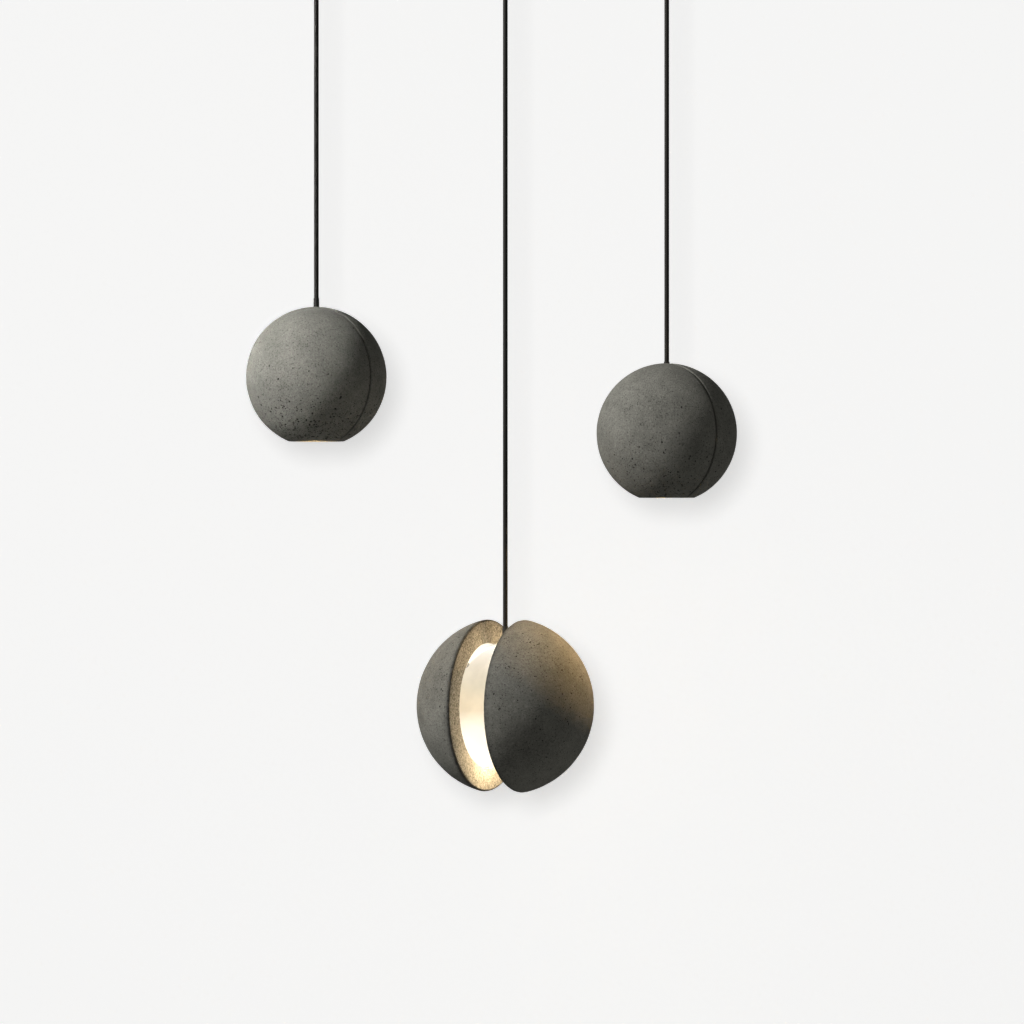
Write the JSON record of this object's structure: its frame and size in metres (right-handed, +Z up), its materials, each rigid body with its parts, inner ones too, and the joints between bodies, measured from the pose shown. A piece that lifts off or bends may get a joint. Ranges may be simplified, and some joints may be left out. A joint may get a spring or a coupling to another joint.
{
  "type": "pendant ceiling light",
  "caption": "Cluster pendant light: hollow concrete globes hung on black cords from a slim ceiling bar; the largest is split open on a lit white interior.",
  "frame": {"origin": "centre of the ceiling plate's top face, which lies on the ceiling", "axes": "+Z up, +X along the ceiling bar, -Y the side the light is seen from"},
  "size_m": [0.5522, 0.1998, 0.9754],
  "materials": {
    "concrete": "matte cast concrete with air holes",
    "black_paint": "satin black powder coat",
    "dark_metal": "blackened steel",
    "zinc_steel": "zinc plated",
    "white_enamel": "white enamel, smooth",
    "black_cord": "matte black flex",
    "white_ceramic": "glazed",
    "aluminium": "satin",
    "lamp_glass": "frosted, lit warm white",
    "grey_plastic": "moulded"
  },
  "bodies": {
    "canopy": {"ceiling_plate": "zinc_steel", "canopy_cover": "black_paint", "cover_screw_left": "dark_metal", "cover_screw_right": "dark_metal", "terminal_block": "grey_plastic", "left_cord_grip": "dark_metal", "left_grip_nut": "zinc_steel", "left_lead": "black_cord", "large_cord_grip": "dark_metal", "large_grip_nut": "zinc_steel", "large_lead": "black_cord", "right_cord_grip": "dark_metal", "right_grip_nut": "zinc_steel", "right_lead": "black_cord"},
    "left_link": {"left_swing_ring": "dark_metal"},
    "left_drop": {"left_cord": "black_cord"},
    "left_globe": {"left_ferrule": "dark_metal", "left_nipple": "dark_metal", "left_upper_nut": "zinc_steel", "left_lower_nut": "zinc_steel", "left_strap": "white_enamel", "left_strap_screw_a": "zinc_steel", "left_strap_screw_b": "zinc_steel", "left_shell_a": "concrete", "left_shell_b": "concrete", "left_lamp_holder": "white_ceramic", "left_bulb_base": "aluminium", "left_bulb_glass": "lamp_glass"},
    "large_link": {"large_swing_ring": "dark_metal"},
    "large_drop": {"large_cord": "black_cord"},
    "large_globe": {"large_ferrule": "dark_metal", "large_nipple": "dark_metal", "large_upper_nut": "zinc_steel", "large_lower_nut": "zinc_steel", "large_strap": "white_enamel", "large_strap_screw_a": "zinc_steel", "large_strap_screw_b": "zinc_steel", "large_shell_a": "concrete", "large_shell_b": "concrete", "large_lamp_holder": "white_ceramic", "large_bulb_base": "aluminium", "large_bulb_glass": "lamp_glass", "large_reflector_a": "white_enamel", "large_reflector_b": "white_enamel"},
    "right_link": {"right_swing_ring": "dark_metal"},
    "right_drop": {"right_cord": "black_cord"},
    "right_globe": {"right_ferrule": "dark_metal", "right_nipple": "dark_metal", "right_upper_nut": "zinc_steel", "right_lower_nut": "zinc_steel", "right_strap": "white_enamel", "right_strap_screw_a": "zinc_steel", "right_strap_screw_b": "zinc_steel", "right_shell_a": "concrete", "right_shell_b": "concrete", "right_lamp_holder": "white_ceramic", "right_bulb_base": "aluminium", "right_bulb_glass": "lamp_glass"}
  },
  "joints": [
    {"name": "left_sway_side", "type": "hinge", "parent": "canopy", "child": "left_link", "pos_m": [-0.1971, 0, -0.0465], "axis": [0, 1, 0], "range_deg": [-4.5, 4.5]},
    {"name": "left_sway_front", "type": "hinge", "parent": "left_link", "child": "left_drop", "pos_m": [-0.1971, 0, -0.0465], "axis": [1, 0, 0], "range_deg": [-15, 15]},
    {"name": "left_turn", "type": "hinge", "parent": "left_drop", "child": "left_globe", "pos_m": [-0.1971, 0, -0.509], "axis": [0, 0, 1], "range_deg": [-90, 90]},
    {"name": "large_sway_side", "type": "hinge", "parent": "canopy", "child": "large_link", "pos_m": [0.0155, 0, -0.0465], "axis": [0, 1, 0], "range_deg": [-4.5, 4.5]},
    {"name": "large_sway_front", "type": "hinge", "parent": "large_link", "child": "large_drop", "pos_m": [0.0155, 0, -0.0465], "axis": [1, 0, 0], "range_deg": [-15, 15]},
    {"name": "large_turn", "type": "hinge", "parent": "large_drop", "child": "large_globe", "pos_m": [0.0155, 0, -0.879], "axis": [0, 0, 1], "range_deg": [-90, 90]},
    {"name": "right_sway_side", "type": "hinge", "parent": "canopy", "child": "right_link", "pos_m": [0.1971, 0, -0.0465], "axis": [0, 1, 0], "range_deg": [-4.5, 4.5]},
    {"name": "right_sway_front", "type": "hinge", "parent": "right_link", "child": "right_drop", "pos_m": [0.1971, 0, -0.0465], "axis": [1, 0, 0], "range_deg": [-15, 15]},
    {"name": "right_turn", "type": "hinge", "parent": "right_drop", "child": "right_globe", "pos_m": [0.1971, 0, -0.5725], "axis": [0, 0, 1], "range_deg": [-90, 90]}
  ]
}
